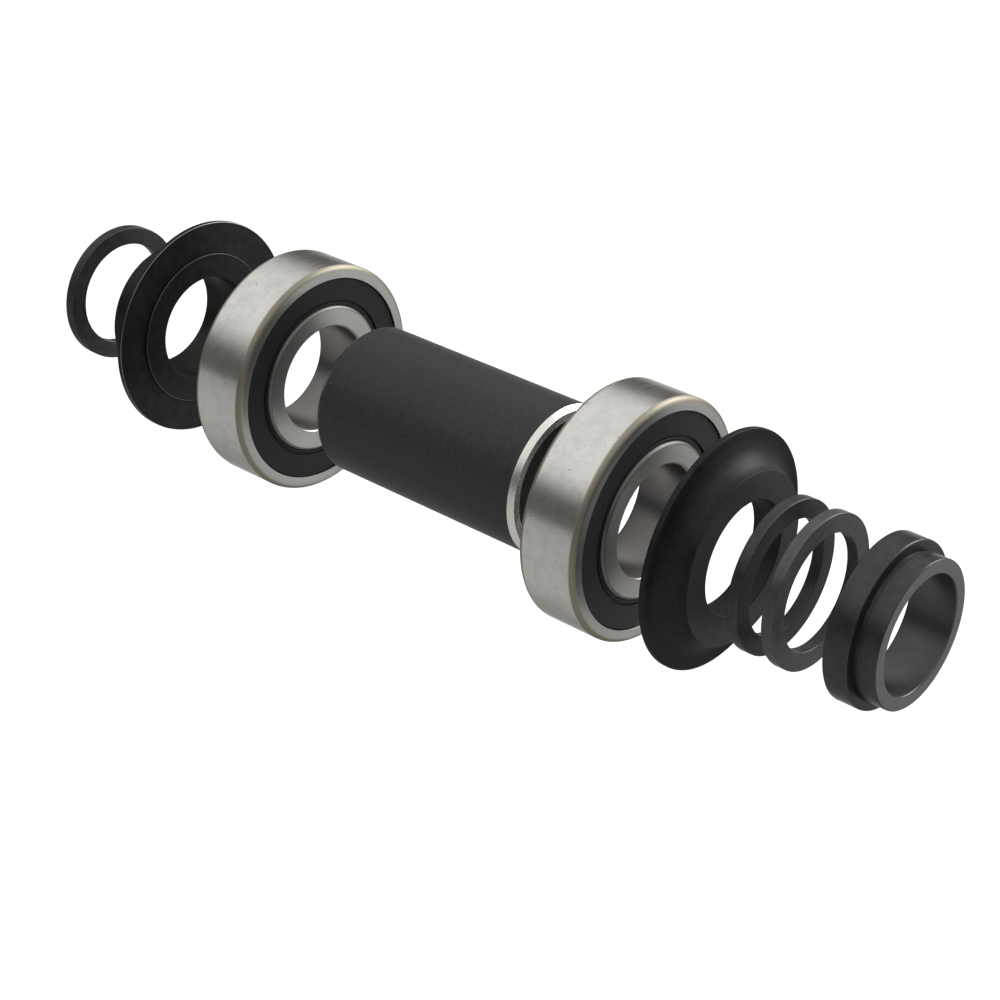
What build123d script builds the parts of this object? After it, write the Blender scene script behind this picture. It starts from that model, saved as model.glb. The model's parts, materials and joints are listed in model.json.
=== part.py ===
from build123d import *
import os

# A press-in bottom bracket kit for a 19 mm one-axis crank spindle, laid out piece by piece along
# the spindle line in the order in which the pieces go on.
#
# Frame, in millimetres: Y is the spindle line, with the drive (sprocket) side towards -Y.
# +X is the bicycle's front, +Z is up, and the origin is the middle of the tube spacer.
# "Outboard" is away from the origin along Y, on either side.

os.makedirs("parts", exist_ok=True)

# ---- Driving dimensions -------------------------------------------------------------------

spindle_r = 9.5  # the bearings' bore, for a 19 mm spindle
loose_bore_r = 9.55  # bore of the pieces that slide on the spindle

tube_outer_r = 13.0
tube_bore_r = 11.0
tube_length = 44.0
tube_chamfer_along = 1.0
tube_chamfer_across = 0.65
tube_bore_break = 0.2

bearing_outer_r = 20.5  # 41 mm shell seat
bearing_width = 11.0
outer_corner_r = 0.9
bore_corner_r = 0.5
inner_shoulder_r = 13.2
inner_shoulder_chamfer = 0.5
outer_shoulder_r = 16.8
ball_r = 3.175
ball_count = 10
ball_circle_r = 15.0
race_groove_r = 3.3
race_gap = 0.025  # between a ball and the bottom of each groove

seal_face_depth = 5.15  # from the bearing's middle plane to the seal's outer face
seal_back_depth = 4.4
seal_seat_r = 18.3
seal_snap_r = 18.65
seal_snap_depth = 4.85  # the snap groove runs from the seal's back to here
seal_fit_gap = 0.05
seal_face_gap = 0.12  # dark ring between the seal's face and the outer ring
seal_lip_r = 13.3
seal_groove_r = 14.0
seal_groove_width = 0.5
seal_groove_depth = 0.3
seal_core_inner_r = 14.6
seal_core_outer_r = 17.8
seal_core_thickness = 0.25

cage_inner_r = 13.9
cage_outer_r = 16.1
cage_plate = 0.5
pocket_gap = 0.08
rivet_r = 0.5
rivet_hole_gap = 0.02
rivet_head_r = 0.82
rivet_head_height = 0.35

cone_rim_r = 19.8
cone_rim_thickness = 1.0
cone_rim_break = 0.15
cone_boss_r = 14.0
cone_boss_height = 0.4
cone_flare_foot_r = 19.2  # where the flare runs out into the rim
cone_bore_break = 0.35
cone_neck_break = 0.15
# The waist is the radius, and the height over the rim, of the flare's middle. The drive cone is low, and
# the non-drive cone rises to a short straight neck.
cones = {
    "drive": {"land_r": 14.4, "waist": (15.6, 1.25), "flare_height": 3.9, "neck": 0.0},
    "non_drive": {"land_r": 12.75, "waist": (14.61, 2.21), "flare_height": 6.95, "neck": 2.2},
}

spacer_outer_r = 12.7
spacer_thickness = 2.0
spacer_break = 0.15

flange_r = 13.45
flange_length = 4.2
boss_r = 11.9  # 23.8 mm sprocket seat
boss_length = 3.9
relief_r = 11.6
relief_width = 0.5
adapter_break = 0.3

# Room between each piece and the one inboard of it.
gaps = {
    "drive": {"bearing": 7.8, "cone": 11.6, "inner_spacer": 5.95, "outer_spacer": 4.25, "adapter": 9.2},
    "non_drive": {"bearing": 10.6, "cone": 19.7, "spacer": 11.75},
}
side_signs = {"drive": -1, "non_drive": 1}
spacer_rings = {"drive": ("inner_spacer", "outer_spacer"), "non_drive": ("spacer",)}


def save(piece, name):
    """Label a finished piece and write its own STEP file."""
    piece.part.label = name
    export_step(piece.part, f"parts/{name}.step")


# ---- Turned pieces: each section is drawn on XY (X is the radius) and spun about Y ----------


def make_spacer_ring(name, sign, inboard):
    """Flat ring with its edges just broken."""
    with BuildPart() as spacer_ring:
        with BuildSketch(Plane.XY):
            with Locations(((spacer_outer_r + loose_bore_r) / 2, sign * (inboard + spacer_thickness / 2))):
                section = Rectangle(spacer_outer_r - loose_bore_r, spacer_thickness)
            chamfer(section.vertices(), spacer_break)
        revolve(axis=Axis.Y)
    save(spacer_ring, name)


def make_cone(name, sign, inboard, shape):
    """Dust cone: a low boss that presses the inner ring, a thin rim and a hollow flare up to a flat land."""
    rim_back = inboard + cone_boss_height
    rim_front = rim_back + cone_rim_thickness
    flare_top = rim_front + shape["flare_height"]
    land = flare_top + shape["neck"]
    land_r = shape["land_r"]
    waist_r, waist_height = shape["waist"]
    land_edge = [(land_r, sign * land)]
    if shape["neck"]:
        land_edge = [
            (land_r, sign * flare_top),
            (land_r, sign * (land - cone_neck_break)),
            (land_r - cone_neck_break, sign * land),
        ]
    with BuildPart() as cone:
        with BuildSketch(Plane.XY):
            with BuildLine():
                Polyline(
                    *land_edge,
                    (loose_bore_r + cone_bore_break, sign * land),
                    (loose_bore_r, sign * (land - cone_bore_break)),
                    (loose_bore_r, sign * (inboard + cone_bore_break)),
                    (loose_bore_r + cone_bore_break, sign * inboard),
                    (cone_boss_r, sign * inboard),
                    (cone_boss_r, sign * rim_back),
                    (cone_rim_r - cone_rim_break, sign * rim_back),
                    (cone_rim_r, sign * (rim_back + cone_rim_break)),
                    (cone_rim_r, sign * (rim_front - cone_rim_break)),
                    (cone_rim_r - cone_rim_break, sign * rim_front),
                    (cone_flare_foot_r, sign * rim_front),
                )
                ThreePointArc(
                    (cone_flare_foot_r, sign * rim_front),
                    (waist_r, sign * (rim_front + waist_height)),
                    (land_r, sign * flare_top),
                )
            make_face()
        revolve(axis=Axis.Y)
    save(cone, name)
    return land


def make_sprocket_adapter(name, sign, inboard):
    """Top-hat: a flange with a shorter, smaller boss outboard that centres the sprocket."""
    shoulder = inboard + flange_length
    end = shoulder + boss_length
    with BuildPart() as sprocket_adapter:
        with BuildSketch(Plane.XY):
            with BuildLine():
                Polyline(
                    (loose_bore_r, sign * (inboard + adapter_break)),
                    (loose_bore_r + adapter_break, sign * inboard),
                    (flange_r - adapter_break, sign * inboard),
                    (flange_r, sign * (inboard + adapter_break)),
                    (flange_r, sign * (shoulder - adapter_break)),
                    (flange_r - adapter_break, sign * shoulder),
                    (relief_r, sign * shoulder),
                    (relief_r, sign * (shoulder + relief_width)),
                    (boss_r, sign * (shoulder + relief_width)),
                    (boss_r, sign * (end - adapter_break)),
                    (boss_r - adapter_break, sign * end),
                    (loose_bore_r + adapter_break, sign * end),
                    (loose_bore_r, sign * (end - adapter_break)),
                    close=True,
                )
            make_face()
        revolve(axis=Axis.Y)
    save(sprocket_adapter, name)


# ---- Tube spacer ---------------------------------------------------------------------------

tube_end = tube_length / 2
with BuildPart() as tube_spacer:
    with BuildSketch(Plane.XY):
        with BuildLine():
            Polyline(
                (tube_bore_r, -tube_end + tube_bore_break),
                (tube_bore_r + tube_bore_break, -tube_end),
                (tube_outer_r - tube_chamfer_across, -tube_end),
                (tube_outer_r, -tube_end + tube_chamfer_along),
                (tube_outer_r, tube_end - tube_chamfer_along),
                (tube_outer_r - tube_chamfer_across, tube_end),
                (tube_bore_r + tube_bore_break, tube_end),
                (tube_bore_r, tube_end - tube_bore_break),
                close=True,
            )
        make_face()
    revolve(axis=Axis.Y)
save(tube_spacer, "tube_spacer")


# ---- Sealed ball bearing -------------------------------------------------------------------


def make_inner_ring(name, middle):
    with BuildPart() as inner_ring:
        with BuildSketch(Plane.XY) as section:
            with Locations(((spindle_r + inner_shoulder_r) / 2, middle)):
                Rectangle(inner_shoulder_r - spindle_r, bearing_width)
            fillet(section.vertices().group_by(Axis.X)[0], bore_corner_r)
            chamfer(section.vertices().group_by(Axis.X)[-1], inner_shoulder_chamfer)
            with Locations((ball_circle_r - ball_r - race_gap + race_groove_r, middle)):
                Circle(race_groove_r, mode=Mode.SUBTRACT)
        revolve(axis=Axis.Y)
    save(inner_ring, name)


def make_outer_ring(name, middle):
    half_width = bearing_width / 2
    with BuildPart() as outer_ring:
        with BuildSketch(Plane.XY) as section:
            with Locations(((outer_shoulder_r + bearing_outer_r) / 2, middle)):
                Rectangle(bearing_outer_r - outer_shoulder_r, bearing_width)
            fillet(section.vertices().group_by(Axis.X)[-1], outer_corner_r)
            with Locations((ball_circle_r + ball_r + race_gap - race_groove_r, middle)):
                Circle(race_groove_r, mode=Mode.SUBTRACT)
            # A stepped seat at each face: the seal's mouth, with the wider snap groove behind it.
            for way in (-1, 1):
                with BuildLine():
                    Polyline(
                        (outer_shoulder_r - 1, middle + way * seal_back_depth),
                        (seal_snap_r, middle + way * seal_back_depth),
                        (seal_snap_r, middle + way * seal_snap_depth),
                        (seal_seat_r, middle + way * seal_snap_depth),
                        (seal_seat_r, middle + way * (half_width + 1)),
                        (outer_shoulder_r - 1, middle + way * (half_width + 1)),
                        close=True,
                    )
                make_face(mode=Mode.SUBTRACT)
        revolve(axis=Axis.Y)
    save(outer_ring, name)


def make_seal(name, middle, way):
    """Rubber shield: snap bead at the rim, plain face, a groove and a lip that runs on the inner ring."""
    back = seal_back_depth + seal_fit_gap
    step = seal_snap_depth - seal_fit_gap
    groove_outer_r = seal_groove_r + seal_groove_width / 2
    groove_inner_r = seal_groove_r - seal_groove_width / 2
    groove_floor = seal_face_depth - seal_groove_depth
    outline = [
        (seal_snap_r - seal_fit_gap, back),
        (seal_snap_r - seal_fit_gap, step),
        (seal_seat_r - seal_face_gap, step),
        (seal_seat_r - seal_face_gap, seal_face_depth),
        (groove_outer_r, seal_face_depth),
        (groove_outer_r, groove_floor),
        (groove_inner_r, groove_floor),
        (groove_inner_r, seal_face_depth - seal_fit_gap),
        (seal_lip_r, seal_face_depth - seal_fit_gap),
        (seal_lip_r, back),
        (seal_core_inner_r, back),
        (seal_core_inner_r, back + seal_core_thickness),
        (seal_core_outer_r, back + seal_core_thickness),
        (seal_core_outer_r, back),
    ]
    with BuildPart() as seal:
        with BuildSketch(Plane.XY):
            with BuildLine():
                Polyline(*[(r, middle + way * depth) for r, depth in outline], close=True)
            make_face()
        revolve(axis=Axis.Y)
    save(seal, name)


def make_seal_core(name, middle, way):
    """Steel washer let into the back of the rubber shield."""
    core_middle = seal_back_depth + seal_fit_gap + seal_core_thickness / 2
    with BuildPart() as seal_core:
        with BuildSketch(Plane.XY):
            with Locations(((seal_core_inner_r + seal_core_outer_r) / 2, middle + way * core_middle)):
                Rectangle(seal_core_outer_r - seal_core_inner_r, seal_core_thickness)
        revolve(axis=Axis.Y)
    save(seal_core, name)


def make_balls(name, middle_plane):
    with BuildPart(middle_plane) as balls:
        with PolarLocations(ball_circle_r, ball_count):
            Sphere(ball_r)
    save(balls, name)


def make_cage_half(name, middle_plane, rise):
    """Pressed ribbon: a flat ring between the balls and a round pocket over each, rising to one side."""
    pocket_r = ball_r + pocket_gap
    with BuildPart(middle_plane) as cage_half:
        with BuildSketch(middle_plane) as band:
            Circle(cage_outer_r)
            Circle(cage_inner_r, mode=Mode.SUBTRACT)
        extrude(amount=rise * cage_plate)
        with PolarLocations(ball_circle_r, ball_count):
            Sphere(pocket_r + cage_plate)
        extrude(band.sketch, amount=rise * (pocket_r + 2 * cage_plate), mode=Mode.INTERSECT)
        with PolarLocations(ball_circle_r, ball_count):
            Sphere(pocket_r, mode=Mode.SUBTRACT)
        with PolarLocations(ball_circle_r, ball_count, start_angle=180 / ball_count):
            Cylinder(rivet_r + rivet_hole_gap, 4 * cage_plate, mode=Mode.SUBTRACT)
    save(cage_half, name)


def make_cage_rivets(name, middle_plane):
    with BuildPart(middle_plane) as rivets:
        with PolarLocations(ball_circle_r, ball_count, start_angle=180 / ball_count):
            Cylinder(rivet_r, 2 * cage_plate)
            for face in (-1, 1):
                with Locations((0, 0, face * (cage_plate + rivet_head_height / 2))):
                    Cylinder(rivet_head_r, rivet_head_height)
    save(rivets, name)


def make_bearing(side, sign, inboard):
    """All the pieces of one sealed bearing whose inboard face is that far out on its side."""
    middle = sign * (inboard + bearing_width / 2)
    middle_plane = Plane.XZ.offset(-middle)
    make_inner_ring(f"{side}_bearing_inner_ring", middle)
    make_outer_ring(f"{side}_bearing_outer_ring", middle)
    make_balls(f"{side}_bearing_balls", middle_plane)
    make_cage_rivets(f"{side}_bearing_cage_rivets", middle_plane)
    for where, way in (("inboard", -sign), ("outboard", sign)):
        make_seal(f"{side}_bearing_{where}_seal", middle, way)
        make_seal_core(f"{side}_bearing_{where}_seal_core", middle, way)
        make_cage_half(f"{side}_bearing_cage_{where}_half", middle_plane, -way)


# ---- The two sides -------------------------------------------------------------------------

for side, sign in side_signs.items():
    room = gaps[side]
    bearing_start = tube_end + room["bearing"]
    make_bearing(side, sign, bearing_start)
    cone_start = bearing_start + bearing_width + room["cone"]
    reached = make_cone(f"{side}_cone", sign, cone_start, cones[side])
    for ring in spacer_rings[side]:
        ring_start = reached + room[ring]
        make_spacer_ring(f"{side}_{ring}", sign, ring_start)
        reached = ring_start + spacer_thickness
    if side == "drive":
        adapter_start = reached + room["adapter"]
        make_sprocket_adapter("sprocket_adapter", sign, adapter_start)
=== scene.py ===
import json
import math

import bmesh
import bpy
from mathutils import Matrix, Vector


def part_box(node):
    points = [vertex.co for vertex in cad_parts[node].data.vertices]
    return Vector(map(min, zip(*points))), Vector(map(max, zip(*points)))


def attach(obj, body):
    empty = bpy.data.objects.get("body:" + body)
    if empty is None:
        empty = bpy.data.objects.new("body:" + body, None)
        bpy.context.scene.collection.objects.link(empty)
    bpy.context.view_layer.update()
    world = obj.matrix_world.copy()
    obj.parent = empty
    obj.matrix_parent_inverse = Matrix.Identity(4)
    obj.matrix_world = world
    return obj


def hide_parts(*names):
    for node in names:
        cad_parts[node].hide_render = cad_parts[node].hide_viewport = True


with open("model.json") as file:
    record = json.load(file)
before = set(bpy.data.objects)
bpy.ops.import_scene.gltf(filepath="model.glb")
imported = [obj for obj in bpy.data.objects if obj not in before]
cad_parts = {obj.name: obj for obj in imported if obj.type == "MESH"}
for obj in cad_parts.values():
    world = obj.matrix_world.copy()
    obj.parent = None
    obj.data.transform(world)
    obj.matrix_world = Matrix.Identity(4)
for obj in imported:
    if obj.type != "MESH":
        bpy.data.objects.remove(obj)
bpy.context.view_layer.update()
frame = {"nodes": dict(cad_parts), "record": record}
record = frame["record"]

# A press-in bottom bracket kit, spread out along its spindle line, which is the Y axis.
# The pieces are turned on that line. Lengths below are in millimetres, and MM takes them to metres.
MM = 0.001

RING_STEPS = 160  # flats round each turned piece
CLOSE = 0.004  # how near a corner has to be to a stated place to be taken
SMOOTH_UNDER = 32  # degrees between faces that are shaded as one round

# ---- Sizes of the sections, in millimetres ------------------------------------------------

LOOSE_BORE = 9.55
SPINDLE_BORE = 9.5

TUBE_BORE = 11.0
TUBE_CHAMFER_ALONG = 1.0
TUBE_CHAMFER_ACROSS = 0.65
TUBE_BORE_BREAK = 0.2
TUBE_FACE_BREAK = 0.06
TUBE_SHOULDER_BREAK = 0.08
TUBE_SMOOTH_UNDER = 20  # degrees: less than the turn of the end chamfer

BEARING_HALF_WIDTH = 5.5
OUTER_CORNER = 0.9
INNER_CORNER = 0.5
SEAT_BREAK = 0.1
SEAL_SEAT = 18.3
SNAP_GROOVE = 18.65
SNAP_DEPTH = 4.85
SEAL_BACK = 4.4
OUTER_SHOULDER = 16.8
INNER_SHOULDER = 13.2
BALL_CIRCLE = 15.0
BALL = 3.175
BALL_GAP = 0.025
RACE_CURVE = 3.3
RACE_HALF_WIDTH = 2.69

SEAL_FACE = 5.15
SEAL_RIM = 18.16
SEAL_BEAD = 18.6
SEAL_LIP = 13.3
SEAL_GROOVE = 14.0
SEAL_RIM_BREAK = 0.1
SEAL_GROOVE_BREAK = 0.05
LIP_SINK = 0.08  # how far the lip's crest lies under the seal's face
CORE_INNER = 14.6
CORE_OUTER = 17.8
CORE_THICKNESS = 0.25
SEAL_PLAY = 0.05

CONE_RIM_THICKNESS = 1.0
CONE_BOSS = 14.0
CONE_BOSS_HEIGHT = 0.4
CONE_BORE_BREAK = 0.35
CONE_RIM_BREAK = 0.15
CONE_STEP_BREAK = 0.1
# The centre of each flare's curve is its radius and its height over the rim. The curve turns, in
# degrees, from its foot on the rim to the land, and the neck is a straight length beyond it.
CONES = {
    "drive_cone": {
        "land": 14.4,
        "centre": (18.651, 4.228),
        "curve": 4.264,
        "turn": (-82.602, -175.589),
        "neck": 0.0,
    },
    "non_drive_cone": {
        "land": 12.75,
        "centre": (19.7193, 6.95),
        "curve": 6.9693,
        "turn": (-94.272, -180.0),
        "neck": 2.2,
    },
}

SPACER_BREAK = 0.15

FLANGE_LENGTH = 4.2
ADAPTER_BOSS = 11.9
ADAPTER_RELIEF = 11.6
RELIEF_WIDTH = 0.5
ADAPTER_BREAK = 0.3
RELIEF_BREAK = 0.1

# ---- Tones of the finishes, dark and light where two are mixed -------------------------------

GROUND_STEEL = ((0.325, 0.32, 0.3), (0.4, 0.391, 0.37))
FACED_STEEL = ((0.2, 0.2, 0.19), (0.3, 0.3, 0.287))
STEEL_IN_BORE = (0.19, 0.178, 0.17)
STEEL_SPECK = (0.08, 0.078, 0.07)
# Painted shade: a darker brown on the bearings' rounded outer corners, to dim the reflection there.
CORNER_PAINTED_SHADE = (0.175, 0.16, 0.128)
# Painted shade: darker on the inner ring's shoulder chamfer, to dim its highlight line.
SHOULDER_PAINTED_SHADE = (0.13, 0.127, 0.118)
STEEL_AT_EDGES = (0.42, 0.415, 0.4)
BALL_TONE = (0.55, 0.55, 0.55)
PRESSED_STEEL = ((0.34, 0.34, 0.34), (0.42, 0.42, 0.41))
RUBBER = ((0.0028, 0.003, 0.0032), (0.0066, 0.007, 0.0074))
TUBE_COAT = ((0.024, 0.0253, 0.025), (0.049, 0.0513, 0.0505))
TUBE_END = ((0.52, 0.508, 0.485), (0.64, 0.626, 0.6))
TUBE_CHAMFER = (0.43, 0.422, 0.39)
# Painted light: a pale tone inside the tube's bore, to lift the shade deep inside it.
TUBE_INSIDE_PAINTED_LIGHT = (0.3, 0.31, 0.305)
BLACK_AT_EDGES = (0.5, 0.5, 0.5)
# Painted highlight: lighter lines on anodised edges that catch the light.
EDGE_PAINTED_HIGHLIGHT = (0.11, 0.11, 0.11)
DRIVE_CONE = ((0.0125, 0.013, 0.0134), (0.02, 0.0209, 0.0214))
DRIVE_CONE_BORE = (0.034, 0.0332, 0.0318)
DRIVE_CONE_LAND = (0.036, 0.0374, 0.0378)
NON_DRIVE_CONE = ((0.012, 0.0126, 0.013), (0.022, 0.0231, 0.0236))
NON_DRIVE_CONE_BORE = (0.024, 0.0236, 0.0228)
SPACER = ((0.026, 0.0273, 0.0277), (0.044, 0.046, 0.0467))
WORN_SPACER = ((0.046, 0.048, 0.048), (0.07, 0.073, 0.073))
SPACER_BORE = (0.05, 0.051, 0.051)
ADAPTER = ((0.029, 0.0305, 0.0305), (0.041, 0.043, 0.043))
ADAPTER_BORE = (0.075, 0.073, 0.07)
ADAPTER_END = (0.094, 0.0985, 0.0975)
FLOOR_TONE = (0.5, 0.5, 0.5)

COAT_SHEEN = 0.5  # share of the tube's coat that shines like metal
ANODISED_SHEEN = 0.8  # the same, of the anodised black

# ---- Modelling at the bench ---------------------------------------------------------------


def deselect():
    if bpy.context.mode != "OBJECT":
        bpy.ops.object.mode_set(mode="OBJECT")
    bpy.ops.object.select_all(action="DESELECT")


def open_for_edit(piece):
    deselect()
    piece.select_set(True)
    bpy.context.view_layer.objects.active = piece
    bpy.ops.object.mode_set(mode="EDIT")


def turn(name, corners):
    """A ring turned on the Y axis, from the corners of its section as (radius, place along Y) in order."""
    deselect()
    radius, along = corners[0]
    bpy.ops.mesh.primitive_circle_add(
        vertices=RING_STEPS,
        radius=radius * MM,
        fill_type="NOTHING",
        location=(0, along * MM, 0),
        rotation=(math.pi / 2, 0, 0),
    )
    piece = bpy.context.object
    piece.name = piece.data.name = name
    bpy.ops.object.transform_apply(location=True, rotation=True, scale=True)
    open_for_edit(piece)
    bpy.ops.mesh.select_all(action="SELECT")
    for next_radius, next_along in corners[1:]:
        step = (next_along - along) * MM
        growth = next_radius / radius
        bpy.ops.mesh.extrude_edges_move(TRANSFORM_OT_translate={"value": (0, step, 0)})
        bpy.ops.transform.resize(value=(growth, 1, growth), center_override=(0, next_along * MM, 0))
        radius, along = next_radius, next_along
    bpy.ops.mesh.select_all(action="DESELECT")
    bpy.ops.mesh.select_non_manifold()
    bpy.ops.mesh.bridge_edge_loops()
    bpy.ops.mesh.select_all(action="SELECT")
    bpy.ops.mesh.normals_make_consistent(inside=False)
    bpy.ops.object.mode_set(mode="OBJECT")
    return piece


def soften(piece, corners, width, segments=2):
    """Bevels the round edges that stand at the stated corners of the section."""
    open_for_edit(piece)
    bpy.ops.mesh.select_mode(type="EDGE")
    bpy.ops.mesh.select_all(action="DESELECT")
    mesh = bmesh.from_edit_mesh(piece.data)
    for edge in mesh.edges:
        for radius, along in corners:
            if all(
                abs(math.hypot(v.co.x, v.co.z) / MM - radius) < CLOSE and abs(v.co.y / MM - along) < CLOSE
                for v in edge.verts
            ):
                edge.select_set(True)
    bmesh.update_edit_mesh(piece.data)
    bpy.ops.mesh.bevel(offset=width * MM, segments=segments, affect="EDGES")
    bpy.ops.object.mode_set(mode="OBJECT")


def smooth(piece, angle=SMOOTH_UNDER):
    """Smooth shading with flat faces kept flat."""
    deselect()
    piece.select_set(True)
    bpy.context.view_layer.objects.active = piece
    bpy.ops.object.shade_smooth_by_angle(angle=math.radians(angle))
    bpy.ops.object.modifier_add(type="WEIGHTED_NORMAL")
    piece.modifiers[-1].keep_sharp = True
    bpy.ops.object.modifier_apply(modifier=piece.modifiers[-1].name)


def arc(centre, curve, start, end, steps):
    """Points along a round of the section, as (radius, height), angles in degrees from outwards."""
    points = []
    for step in range(steps + 1):
        angle = math.radians(start + (end - start) * step / steps)
        points.append((centre[0] + curve * math.cos(angle), centre[1] + curve * math.sin(angle)))
    return points


# ---- Materials ----------------------------------------------------------------------------


def new_finish(name):
    material = bpy.data.materials.new(name)
    material.use_nodes = True
    tree = material.node_tree
    tree.nodes.clear()
    output = tree.nodes.new("ShaderNodeOutputMaterial")
    surface = tree.nodes.new("ShaderNodeBsdfPrincipled")
    tree.links.new(surface.outputs["BSDF"], output.inputs["Surface"])
    return material, tree, surface


def feed(tree, socket, value):
    """Sets a socket to a plain value or tone, or links it."""
    if isinstance(value, bpy.types.NodeSocket):
        tree.links.new(value, socket)
    else:
        socket.default_value = (*value, 1) if isinstance(value, tuple) else value


def calc(tree, operation, first, second=0.0):
    maths = tree.nodes.new("ShaderNodeMath")
    maths.operation = operation
    feed(tree, maths.inputs[0], first)
    feed(tree, maths.inputs[1], second)
    return maths.outputs[0]


def spread(tree, value, from_low, from_high, to_low, to_high):
    """Takes a value's range to another range, held at its ends."""
    node = tree.nodes.new("ShaderNodeMapRange")
    feed(tree, node.inputs["Value"], value)
    node.inputs["From Min"].default_value = from_low
    node.inputs["From Max"].default_value = from_high
    node.inputs["To Min"].default_value = to_low
    node.inputs["To Max"].default_value = to_high
    return node.outputs["Result"]


def between(tree, value, low, high):
    """One where the value lies between the two limits, and nothing elsewhere."""
    over = calc(tree, "GREATER_THAN", value, low)
    return calc(tree, "MULTIPLY", over, calc(tree, "LESS_THAN", value, high))


def blend_colours(tree, share, first, second):
    node = tree.nodes.new("ShaderNodeMix")
    node.data_type = "RGBA"
    feed(tree, node.inputs["Factor"], share)
    feed(tree, node.inputs["A"], first)
    feed(tree, node.inputs["B"], second)
    return node.outputs["Result"]


def lathe_places(tree):
    """Radius and place along the line in millimetres, and the direction round it as cosine and sine."""
    place = tree.nodes.new("ShaderNodeTexCoord")
    split = tree.nodes.new("ShaderNodeSeparateXYZ")
    tree.links.new(place.outputs["Object"], split.inputs[0])
    across = calc(tree, "MULTIPLY", split.outputs["X"], 1 / MM)
    along = calc(tree, "MULTIPLY", split.outputs["Y"], 1 / MM)
    up = calc(tree, "MULTIPLY", split.outputs["Z"], 1 / MM)
    square = calc(tree, "ADD", calc(tree, "MULTIPLY", across, across), calc(tree, "MULTIPLY", up, up))
    radius = calc(tree, "SQRT", square)
    return {
        "object": place.outputs["Object"],
        "radius": radius,
        "along": along,
        "cosine": calc(tree, "DIVIDE", across, radius),
        "sine": calc(tree, "DIVIDE", up, radius),
    }


def lathe_lines(tree, places, per_mm, round_the_ring, detail=3.0):
    """Fine lines round the turned surface: fast across them, slow along them."""
    vector = tree.nodes.new("ShaderNodeCombineXYZ")
    feed(tree, vector.inputs["X"], calc(tree, "MULTIPLY", places["radius"], per_mm))
    feed(tree, vector.inputs["Y"], calc(tree, "MULTIPLY", places["along"], per_mm))
    feed(tree, vector.inputs["Z"], calc(tree, "MULTIPLY", places["cosine"], round_the_ring))
    noise = tree.nodes.new("ShaderNodeTexNoise")
    noise.noise_dimensions = "4D"
    feed(tree, noise.inputs["Vector"], vector.outputs[0])
    feed(tree, noise.inputs["W"], calc(tree, "MULTIPLY", places["sine"], round_the_ring))
    noise.inputs["Scale"].default_value = 1.0
    noise.inputs["Detail"].default_value = detail
    return noise.outputs["Fac"]


def grain(tree, places, per_mm, detail=2.0, roughness=0.5):
    """Even speckle, with its size as so many grains in a millimetre."""
    noise = tree.nodes.new("ShaderNodeTexNoise")
    feed(tree, noise.inputs["Vector"], places["object"])
    noise.inputs["Scale"].default_value = per_mm / MM
    noise.inputs["Detail"].default_value = detail
    noise.inputs["Roughness"].default_value = roughness
    return noise.outputs["Fac"]


def raise_surface(tree, surface, height, strength, depth):
    """Bumps the surface by a height pattern, depth in millimetres."""
    bump = tree.nodes.new("ShaderNodeBump")
    bump.inputs["Strength"].default_value = strength
    bump.inputs["Distance"].default_value = depth * MM
    feed(tree, bump.inputs["Height"], height)
    tree.links.new(bump.outputs["Normal"], surface.inputs["Normal"])


def turned_grain(tree, surface, amount):
    """Stretches the gloss across the lathe lines, a quarter turn from the way round the ring."""
    tangent = tree.nodes.new("ShaderNodeTangent")
    tangent.direction_type = "RADIAL"
    tangent.axis = "Y"
    tree.links.new(tangent.outputs[0], surface.inputs["Tangent"])
    surface.inputs["Anisotropic"].default_value = amount
    surface.inputs["Anisotropic Rotation"].default_value = 0.25


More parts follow.
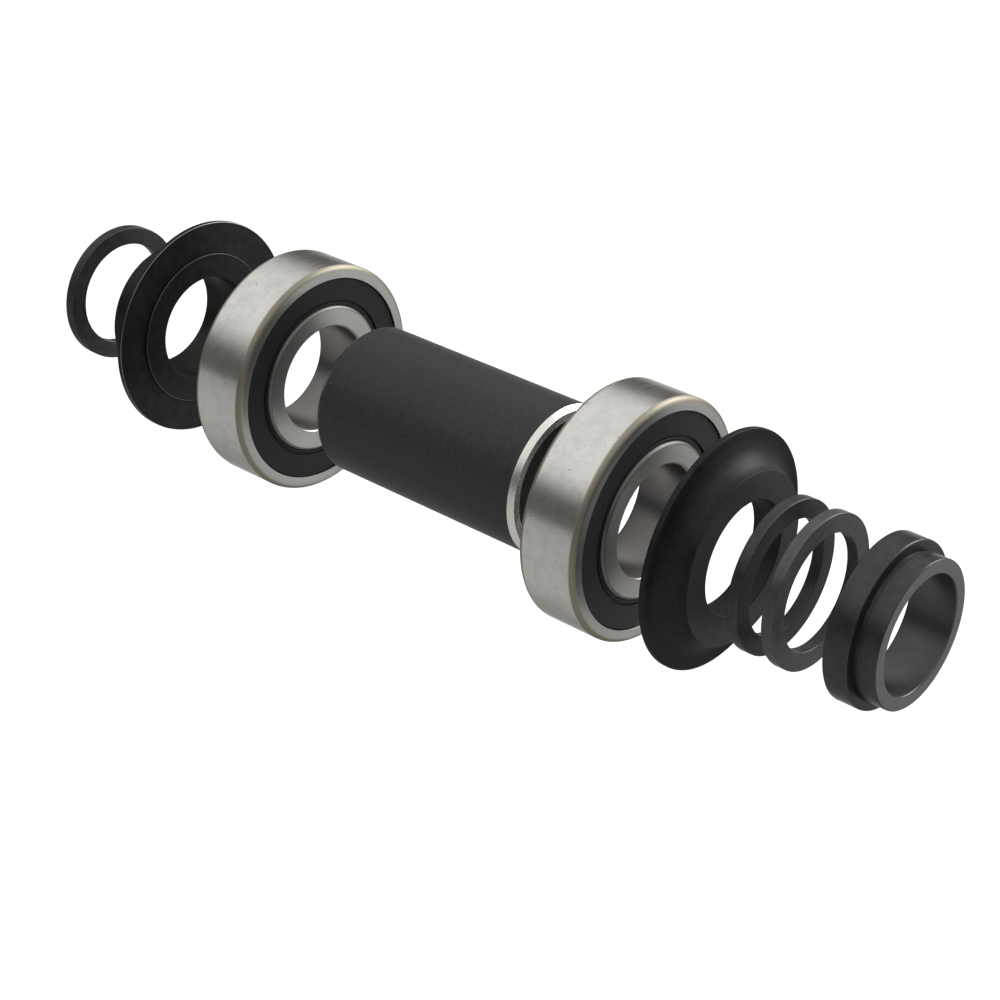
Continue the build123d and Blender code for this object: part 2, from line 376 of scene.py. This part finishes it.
def make_ground_steel(name, middle, outside):
    """Bearing steel: ground outside, duller faced sides, painted shade in brown on the rounded outer corners
    and a darker painted shade on the inner shoulders.
    """
    material, tree, surface = new_finish(name)
    places = lathe_places(tree)
    lines = lathe_lines(tree, places, 9.0, 3.0)
    clouds = grain(tree, places, 0.5, 5.0, 0.7)
    ground = blend_colours(tree, spread(tree, clouds, 0.3, 0.7, 0, 1), *GROUND_STEEL)
    faced = blend_colours(tree, lines, *FACED_STEEL)
    out = calc(tree, "ABSOLUTE", calc(tree, "SUBTRACT", places["along"], middle))
    on_side = spread(tree, out, BEARING_HALF_WIDTH - 0.06, BEARING_HALF_WIDTH - 0.01, 0, 1)
    in_bore = spread(tree, places["radius"], SPINDLE_BORE + 0.4, SPINDLE_BORE + 0.5, 1, 0)
    steel = blend_colours(tree, on_side, ground, faced)
    steel = blend_colours(tree, in_bore, steel, STEEL_IN_BORE)
    specks = spread(tree, grain(tree, places, 2.2, 0.0), 0.79, 0.82, 0, 0.5)
    steel = blend_colours(tree, specks, steel, STEEL_SPECK)
    # Painted shade on the outer ring's rounded corners: darker brown where the side meets the outside, and
    # rougher there.
    near_side = spread(tree, out, BEARING_HALF_WIDTH - 1.05, BEARING_HALF_WIDTH - 0.7, 0, 1)
    near_rim = spread(tree, places["radius"], outside - 0.95, outside - 0.55, 0, 1)
    corner_shade = calc(tree, "MULTIPLY", near_side, near_rim)
    # Painted shade on the inner ring's shoulder chamfer: darker and rougher, to dim its highlight.
    over_shoulder = spread(tree, places["radius"], INNER_SHOULDER - 0.55, INNER_SHOULDER - 0.4, 0, 1)
    under_shoulder = spread(tree, places["radius"], INNER_SHOULDER + 0.05, INNER_SHOULDER + 0.15, 1, 0)
    shoulder = calc(tree, "MULTIPLY", over_shoulder, under_shoulder)
    steel = blend_colours(tree, shoulder, steel, SHOULDER_PAINTED_SHADE)
    surface.inputs["Metallic"].default_value = 1.0
    feed(tree, surface.inputs["Specular Tint"], STEEL_AT_EDGES)
    feed(tree, surface.inputs["Base Color"], blend_colours(tree, corner_shade, steel, CORNER_PAINTED_SHADE))
    sheen = spread(tree, lines, 0.3, 0.7, 0.2, 0.28)
    dull = calc(tree, "MULTIPLY", calc(tree, "MAXIMUM", on_side, in_bore), 0.14)
    rough_on_painted_shade = calc(tree, "MULTIPLY", calc(tree, "MAXIMUM", corner_shade, shoulder), 0.32)
    feed(tree, surface.inputs["Roughness"], calc(tree, "ADD", sheen, calc(tree, "MAXIMUM", dull, rough_on_painted_shade)))
    turned_grain(tree, surface, 0.55)
    raise_surface(tree, surface, lines, 0.05, 0.02)
    return material


def make_ball_steel(name):
    material, tree, surface = new_finish(name)
    places = lathe_places(tree)
    surface.inputs["Metallic"].default_value = 1.0
    feed(tree, surface.inputs["Base Color"], BALL_TONE)
    feed(tree, surface.inputs["Roughness"], spread(tree, grain(tree, places, 1.5), 0.3, 0.7, 0.03, 0.07))
    return material


def make_pressed_steel(name):
    material, tree, surface = new_finish(name)
    places = lathe_places(tree)
    marks = grain(tree, places, 4.0)
    surface.inputs["Metallic"].default_value = 1.0
    shade = spread(tree, marks, 0.3, 0.7, 0, 1)
    feed(tree, surface.inputs["Base Color"], blend_colours(tree, shade, *PRESSED_STEEL))
    feed(tree, surface.inputs["Roughness"], spread(tree, marks, 0.3, 0.7, 0.25, 0.4))
    raise_surface(tree, surface, marks, 0.1, 0.02)
    return material


def make_seal_rubber(name):
    material, tree, surface = new_finish(name)
    places = lathe_places(tree)
    pores = grain(tree, places, 7.0, 3.0)
    shade = spread(tree, pores, 0.3, 0.75, 0, 1)
    feed(tree, surface.inputs["Base Color"], blend_colours(tree, shade, *RUBBER))
    feed(tree, surface.inputs["Roughness"], spread(tree, pores, 0.3, 0.7, 0.44, 0.58))
    surface.inputs["Specular IOR Level"].default_value = 0.12
    raise_surface(tree, surface, pores, 0.25, 0.02)
    return material


def make_black_tube(name, half_length):
    """Matte black coat with fine speckle, with painted light inside the bore: a much paler tone there to
    lift its shade. The turned ends are bare metal.
    """
    material, tree, surface = new_finish(name)
    places = lathe_places(tree)
    speckle = grain(tree, places, 5.0, 4.0, 0.65)
    lines = lathe_lines(tree, places, 8.0, 2.0)
    coat = blend_colours(tree, spread(tree, speckle, 0.42, 0.72, 0, 1), *TUBE_COAT)
    out = calc(tree, "ABSOLUTE", places["along"])
    bare_from = half_length - TUBE_CHAMFER_ALONG
    end = spread(tree, out, bare_from - 0.02, bare_from + 0.02, 0, 1)
    outside = spread(tree, places["radius"], TUBE_BORE + 0.05, TUBE_BORE + 0.15, 0, 1)
    bare = calc(tree, "MULTIPLY", end, outside)
    metal = blend_colours(tree, lines, *TUBE_END)
    on_chamfer = spread(tree, out, half_length - 0.08, half_length - 0.03, 1, 0)
    metal = blend_colours(tree, on_chamfer, metal, TUBE_CHAMFER)
    # Painted light inside the bore: the coat turns much paler there.
    in_bore = spread(tree, places["radius"], TUBE_BORE + 0.02, TUBE_BORE + 0.1, 1, 0)
    coat = blend_colours(tree, in_bore, coat, TUBE_INSIDE_PAINTED_LIGHT)
    feed(tree, surface.inputs["Base Color"], blend_colours(tree, bare, coat, metal))
    feed(tree, surface.inputs["Metallic"], spread(tree, bare, 0, 1, COAT_SHEEN, 1))
    feed(tree, surface.inputs["Specular Tint"], BLACK_AT_EDGES)
    coat_roughness = spread(tree, speckle, 0.3, 0.7, 0.42, 0.55)
    bare_share = calc(tree, "MULTIPLY", bare, 0.2)
    feed(tree, surface.inputs["Roughness"], calc(tree, "SUBTRACT", coat_roughness, bare_share))
    surface.inputs["Specular IOR Level"].default_value = 0.06
    raise_surface(tree, surface, speckle, 0.2, 0.03)
    return material


def make_black_anodised(name, tones, bore, roughness, highlight_bands=(), end_face=None):
    """Anodised alloy: turning lines under a black that varies a little, with its own tone in the bore.

    An end face can have its own tone too, given with the place along the line where it stands."""
    material, tree, surface = new_finish(name)
    places = lathe_places(tree)
    lines = lathe_lines(tree, places, 5.0, 1.2)
    clouds = grain(tree, places, 0.6, 2.0, 0.5)
    share = spread(tree, calc(tree, "ADD", lines, clouds), 0.7, 1.4, 0, 1)
    black = blend_colours(tree, share, *tones)
    out = calc(tree, "ABSOLUTE", places["along"])
    if end_face:
        at, tone = end_face
        black = blend_colours(tree, spread(tree, out, at - 0.05, at - 0.03, 0, 1), black, tone)
    in_bore = spread(tree, places["radius"], LOOSE_BORE + 0.02, LOOSE_BORE + 0.12, 1, 0)
    black = blend_colours(tree, in_bore, black, bore)
    sheen = ANODISED_SHEEN
    # Painted highlight: the listed bands of radius and place, on edges and the relief's root, get a lighter
    # tone and shine as bare metal.
    if highlight_bands:
        bare = 0.0
        for inner, outer, start, end in highlight_bands:
            in_width = between(tree, places["radius"], inner, outer)
            in_length = between(tree, out, start, end)
            bare = calc(tree, "MAXIMUM", bare, calc(tree, "MULTIPLY", in_width, in_length))
        sheen = spread(tree, bare, 0, 1, ANODISED_SHEEN, 1)
        black = blend_colours(tree, bare, black, EDGE_PAINTED_HIGHLIGHT)
    feed(tree, surface.inputs["Base Color"], black)
    feed(tree, surface.inputs["Metallic"], sheen)
    feed(
        tree,
        surface.inputs["Roughness"],
        spread(tree, clouds, 0.3, 0.7, roughness - 0.03, roughness + 0.03),
    )
    surface.inputs["Specular IOR Level"].default_value = 0.08
    feed(tree, surface.inputs["Specular Tint"], BLACK_AT_EDGES)
    turned_grain(tree, surface, 0.35)
    raise_surface(tree, surface, lines, 0.04, 0.02)
    return material


def outer_reach(node):
    """A CAD piece's ends along the line, in millimetres, the end nearer the middle first."""
    low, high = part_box(node)
    ends = (low.y / MM, high.y / MM)
    return ends if high.y + low.y > 0 else ends[::-1]


def outer_radius(node):
    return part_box(node)[1].x / MM


body_of_node = {n: body for body, nodes in record["behaviour"]["bodies"].items() for n in nodes}


def fit(piece, node, material):
    """The turned piece takes the CAD node's place: its body and its finish."""
    piece.data.materials.clear()
    piece.data.materials.append(material)
    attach(piece, body_of_node[node])
    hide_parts(node)


def finish_inside(node, material):
    """A piece inside the bearing keeps its CAD mesh and gets its finish."""
    materials = frame["nodes"][node].data.materials
    materials.clear()
    materials.append(material)


# ---- Turned pieces ------------------------------------------------------------------------


def turn_tube(material):
    half = abs(outer_reach("tube_spacer")[1])
    outside = outer_radius("tube_spacer")
    bevelled = outside - TUBE_CHAMFER_ACROSS
    shoulder = half - TUBE_CHAMFER_ALONG
    tube = turn(
        "tube_spacer_turned",
        [
            (TUBE_BORE, -half),
            (bevelled, -half),
            (outside, -shoulder),
            (outside, shoulder),
            (bevelled, half),
            (TUBE_BORE, half),
        ],
    )
    soften(tube, [(TUBE_BORE, -half), (TUBE_BORE, half)], TUBE_BORE_BREAK)
    soften(tube, [(bevelled, -half), (bevelled, half)], TUBE_FACE_BREAK)
    soften(tube, [(outside, -shoulder), (outside, shoulder)], TUBE_SHOULDER_BREAK)
    smooth(tube, TUBE_SMOOTH_UNDER)
    fit(tube, "tube_spacer", material)


def turn_outer_ring(node, steel):
    near, far = outer_reach(node)
    middle = (near + far) / 2
    outside = outer_radius(node)
    groove_centre = BALL_CIRCLE + BALL + BALL_GAP - RACE_CURVE
    tilt = math.degrees(math.asin(RACE_HALF_WIDTH / RACE_CURVE))
    race = arc((groove_centre, middle), RACE_CURVE, tilt, -tilt, 16)
    mouth = [
        (outside, BEARING_HALF_WIDTH),
        (SEAL_SEAT, BEARING_HALF_WIDTH),
        (SEAL_SEAT, SNAP_DEPTH),
        (SNAP_GROOVE, SNAP_DEPTH),
        (SNAP_GROOVE, SEAL_BACK),
        (OUTER_SHOULDER, SEAL_BACK),
    ]
    ring = turn(
        node + "_turned",
        [(r, middle + out) for r, out in mouth] + race + [(r, middle - out) for r, out in reversed(mouth)],
    )
    faces = (middle - BEARING_HALF_WIDTH, middle + BEARING_HALF_WIDTH)
    soften(ring, [(outside, face) for face in faces], OUTER_CORNER, 6)
    soften(ring, [(SEAL_SEAT, face) for face in faces], SEAT_BREAK)
    smooth(ring)
    fit(ring, node, steel)


def turn_inner_ring(node, steel):
    near, far = outer_reach(node)
    middle = (near + far) / 2
    groove_centre = BALL_CIRCLE - BALL - BALL_GAP + RACE_CURVE
    tilt = math.degrees(math.asin(RACE_HALF_WIDTH / RACE_CURVE))
    race = arc((groove_centre, middle), RACE_CURVE, 180 + tilt, 180 - tilt, 16)
    low, high = middle - BEARING_HALF_WIDTH, middle + BEARING_HALF_WIDTH
    ring = turn(
        node + "_turned",
        [(SPINDLE_BORE, low), (INNER_SHOULDER, low)] + race + [(INNER_SHOULDER, high), (SPINDLE_BORE, high)],
    )
    soften(ring, [(INNER_SHOULDER, low), (INNER_SHOULDER, high)], INNER_CORNER, 3)
    soften(ring, [(SPINDLE_BORE, low), (SPINDLE_BORE, high)], INNER_CORNER, 4)
    smooth(ring)
    fit(ring, node, steel)


def turn_seal(node, middle, way, rubber):
    back = SEAL_BACK + SEAL_PLAY
    step = SNAP_DEPTH - SEAL_PLAY
    section = [
        (SEAL_BEAD, back),
        (SEAL_BEAD, step),
        (SEAL_RIM, step),
        (SEAL_RIM, SEAL_FACE),
        (SEAL_GROOVE + 0.3, SEAL_FACE),
        (SEAL_GROOVE + 0.2, SEAL_FACE - 0.35),
        (SEAL_GROOVE - 0.15, SEAL_FACE - 0.35),
        (SEAL_GROOVE - 0.25, SEAL_FACE - LIP_SINK),
        (SEAL_LIP, SEAL_FACE - 2 * LIP_SINK),
        (SEAL_LIP, back),
        (CORE_INNER, back),
        (CORE_INNER, back + CORE_THICKNESS),
        (CORE_OUTER, back + CORE_THICKNESS),
        (CORE_OUTER, back),
    ]
    seal = turn(node + "_turned", [(r, middle + way * out) for r, out in section])
    face = middle + way * SEAL_FACE
    lip_crest = face - way * LIP_SINK
    soften(seal, [(SEAL_RIM, face)], SEAL_RIM_BREAK, 3)
    soften(seal, [(SEAL_GROOVE + 0.3, face), (SEAL_GROOVE - 0.25, lip_crest)], SEAL_GROOVE_BREAK)
    smooth(seal)
    fit(seal, node, rubber)


def turn_cone(node, black):
    near, far = outer_reach(node)
    way = 1 if far > near else -1
    rim = outer_radius(node)
    rim_back = CONE_BOSS_HEIGHT
    rim_front = rim_back + CONE_RIM_THICKNESS
    shape = CONES[node]
    centre = (shape["centre"][0], rim_front + shape["centre"][1])
    flare = arc(centre, shape["curve"], *shape["turn"], 24)
    section = [
        (LOOSE_BORE, 0),
        (CONE_BOSS, 0),
        (CONE_BOSS, rim_back),
        (rim, rim_back),
        (rim, rim_front),
        *flare,
        *([(shape["land"], abs(far - near))] if shape["neck"] else []),
        (LOOSE_BORE, abs(far - near)),
    ]
    cone = turn(node + "_turned", [(r, near + way * out) for r, out in section])
    soften(cone, [(LOOSE_BORE, near), (LOOSE_BORE, far)], CONE_BORE_BREAK)
    soften(cone, [(rim, near + way * rim_back), (rim, near + way * rim_front)], CONE_RIM_BREAK, 3)
    soften(cone, [(CONE_BOSS, near), (shape["land"], far)], CONE_STEP_BREAK)
    smooth(cone)
    fit(cone, node, black)


def turn_spacer(node, black):
    near, far = outer_reach(node)
    outside = outer_radius(node)
    corners = [(LOOSE_BORE, near), (outside, near), (outside, far), (LOOSE_BORE, far)]
    spacer = turn(node + "_turned", corners)
    soften(spacer, corners, SPACER_BREAK, 3)
    smooth(spacer)
    fit(spacer, node, black)


def turn_adapter(node, black):
    near, far = outer_reach(node)
    way = 1 if far > near else -1
    flange = outer_radius(node)
    shoulder = near + way * FLANGE_LENGTH
    relief_end = shoulder + way * RELIEF_WIDTH
    adapter = turn(
        node + "_turned",
        [
            (LOOSE_BORE, near),
            (flange, near),
            (flange, shoulder),
            (ADAPTER_RELIEF, shoulder),
            (ADAPTER_RELIEF, relief_end),
            (ADAPTER_BOSS, relief_end),
            (ADAPTER_BOSS, far),
            (LOOSE_BORE, far),
        ],
    )
    soften(adapter, [(flange, near), (flange, shoulder)], ADAPTER_BREAK, 3)
    soften(adapter, [(ADAPTER_BOSS, far), (LOOSE_BORE, far), (LOOSE_BORE, near)], ADAPTER_BREAK, 3)
    soften(adapter, [(ADAPTER_BOSS, relief_end)], RELIEF_BREAK)
    smooth(adapter)
    fit(adapter, node, black)


rubber = make_seal_rubber("seal_rubber")
ball_steel = make_ball_steel("ball_steel")
pressed_steel = make_pressed_steel("pressed_steel")
cone_start = outer_reach("non_drive_cone")[0]
cone_rim = outer_radius("non_drive_cone")
adapter_start, adapter_end = (abs(end) for end in outer_reach("sprocket_adapter"))
adapter_shoulder = adapter_start + FLANGE_LENGTH
cone_blacks = {
    "drive_cone": make_black_anodised(
        "drive_cone_black",
        DRIVE_CONE,
        DRIVE_CONE_BORE,
        0.52,
        end_face=(abs(outer_reach("drive_cone")[1]), DRIVE_CONE_LAND),
    ),
    "non_drive_cone": make_black_anodised(
        "non_drive_cone_black",
        NON_DRIVE_CONE,
        NON_DRIVE_CONE_BORE,
        0.4,
        # Painted highlight lines on the boss edge and the rim edge.
        (
            (CONE_BOSS - 0.1, CONE_BOSS + 0.01, cone_start - 0.1, cone_start + 0.2),
            (cone_rim - 0.12, cone_rim - 0.01, cone_start, cone_start + CONE_BOSS_HEIGHT + 0.2),
        ),
    ),
}
spacer_black = make_black_anodised("spacer_black", SPACER, SPACER_BORE, 0.42)
worn_spacer_black = make_black_anodised("worn_spacer_black", WORN_SPACER, SPACER_BORE, 0.42)
adapter_black = make_black_anodised(
    "adapter_black",
    ADAPTER,
    ADAPTER_BORE,
    0.36,
    # Painted highlight line at the relief's root.
    ((ADAPTER_RELIEF - 0.05, ADAPTER_RELIEF + 0.05, adapter_shoulder - 0.1, adapter_shoulder + 0.6),),
    (adapter_end, ADAPTER_END),
)

turn_tube(make_black_tube("black_tube", abs(outer_reach("tube_spacer")[1])))

for side in ("drive", "non_drive"):
    bearing = side + "_bearing"
    near, far = outer_reach(bearing + "_outer_ring")
    middle = (near + far) / 2
    outward = 1 if far > near else -1
    outside = outer_radius(bearing + "_outer_ring")
    steel = make_ground_steel(side + "_bearing_steel", middle, outside)
    turn_outer_ring(bearing + "_outer_ring", steel)
    turn_inner_ring(bearing + "_inner_ring", steel)
    for where, way in (("inboard", -outward), ("outboard", outward)):
        turn_seal(f"{bearing}_{where}_seal", middle, way, rubber)
        finish_inside(f"{bearing}_{where}_seal_core", pressed_steel)
        finish_inside(f"{bearing}_cage_{where}_half", pressed_steel)
    finish_inside(bearing + "_cage_rivets", pressed_steel)
    finish_inside(bearing + "_balls", ball_steel)
    turn_cone(side + "_cone", cone_blacks[side + "_cone"])
turn_spacer("drive_inner_spacer", spacer_black)
turn_spacer("drive_outer_spacer", worn_spacer_black)
turn_spacer("non_drive_spacer", spacer_black)
turn_adapter("sprocket_adapter", adapter_black)

# ---- Floor, light and camera --------------------------------------------------------------

FLOOR_DROP = 110.0  # under the spindle line
FLOOR_SIZE = 9000.0
TENT_STRENGTH = 1.75
TENT_LOW = (0.27, (0.12, 0.12, 0.115))  # height in the sky and tone, below which the tent is even
TENT_HIGH = (0.64, (1.0, 1.0, 1.0))  # and the same above

CAMERA_PLACE = (-0.24424, -0.22329, 0.18261)
CAMERA_DOWN = 30.45  # degrees under level
CAMERA_ROUND = -48.63
CAMERA_LENS = 81.59


def lay_floor():
    deselect()
    bpy.ops.mesh.primitive_plane_add(size=FLOOR_SIZE * MM, location=(0, 0, -FLOOR_DROP * MM))
    floor = bpy.context.object
    floor.name = "floor"
    material, tree, surface = new_finish("pale_floor")
    feed(tree, surface.inputs["Base Color"], FLOOR_TONE)
    surface.inputs["Roughness"].default_value = 0.9
    surface.inputs["Specular IOR Level"].default_value = 0.1
    floor.data.materials.append(material)


def light_tent():
    """Soft light from all round: bright overhead, dark at the height of the table's edge."""
    world = bpy.data.worlds.new("light_tent")
    bpy.context.scene.world = world
    world.use_nodes = True
    tree = world.node_tree
    tree.nodes.clear()
    output = tree.nodes.new("ShaderNodeOutputWorld")
    background = tree.nodes.new("ShaderNodeBackground")
    tree.links.new(background.outputs[0], output.inputs[0])
    direction = tree.nodes.new("ShaderNodeTexCoord")
    split = tree.nodes.new("ShaderNodeSeparateXYZ")
    tree.links.new(direction.outputs["Generated"], split.inputs[0])
    bands = tree.nodes.new("ShaderNodeValToRGB")
    bands.color_ramp.interpolation = "EASE"
    for stop, (height, tone) in zip(bands.color_ramp.elements, (TENT_LOW, TENT_HIGH)):
        stop.position = height
        stop.color = (*tone, 1)
    tree.links.new(split.outputs["Z"], bands.inputs[0])
    tree.links.new(bands.outputs[0], background.inputs["Color"])
    background.inputs["Strength"].default_value = TENT_STRENGTH


def add_softbox(name, place, aim, size, power):
    lamp = bpy.data.lights.new(name, "AREA")
    lamp.shape = "SQUARE"
    lamp.size = size
    lamp.energy = power
    lamp_object = bpy.data.objects.new(name, lamp)
    bpy.context.scene.collection.objects.link(lamp_object)
    lamp_object.location = place
    toward = (aim[0] - place[0], aim[1] - place[1], aim[2] - place[2])
    level = math.hypot(toward[0], toward[1])
    turn_round = math.atan2(toward[1], toward[0]) - math.pi / 2
    lamp_object.rotation_euler = (math.atan2(level, -toward[2]), 0, turn_round)


def set_camera():
    lens = bpy.data.cameras.new("camera")
    lens.lens = CAMERA_LENS
    lens.sensor_width = 36.0
    lens.clip_start = 0.01
    lens.clip_end = 50.0
    camera = bpy.data.objects.new("camera", lens)
    bpy.context.scene.collection.objects.link(camera)
    camera.location = CAMERA_PLACE
    camera.rotation_euler = (math.radians(90 - CAMERA_DOWN), 0, math.radians(CAMERA_ROUND))
    bpy.context.scene.camera = camera


lay_floor()
light_tent()
add_softbox("side_softbox", (1.05, -0.25, 0.5), (0.2, 0, -0.05), 0.7, 26.0)
set_camera()
bpy.context.scene.view_settings.view_transform = "Standard"
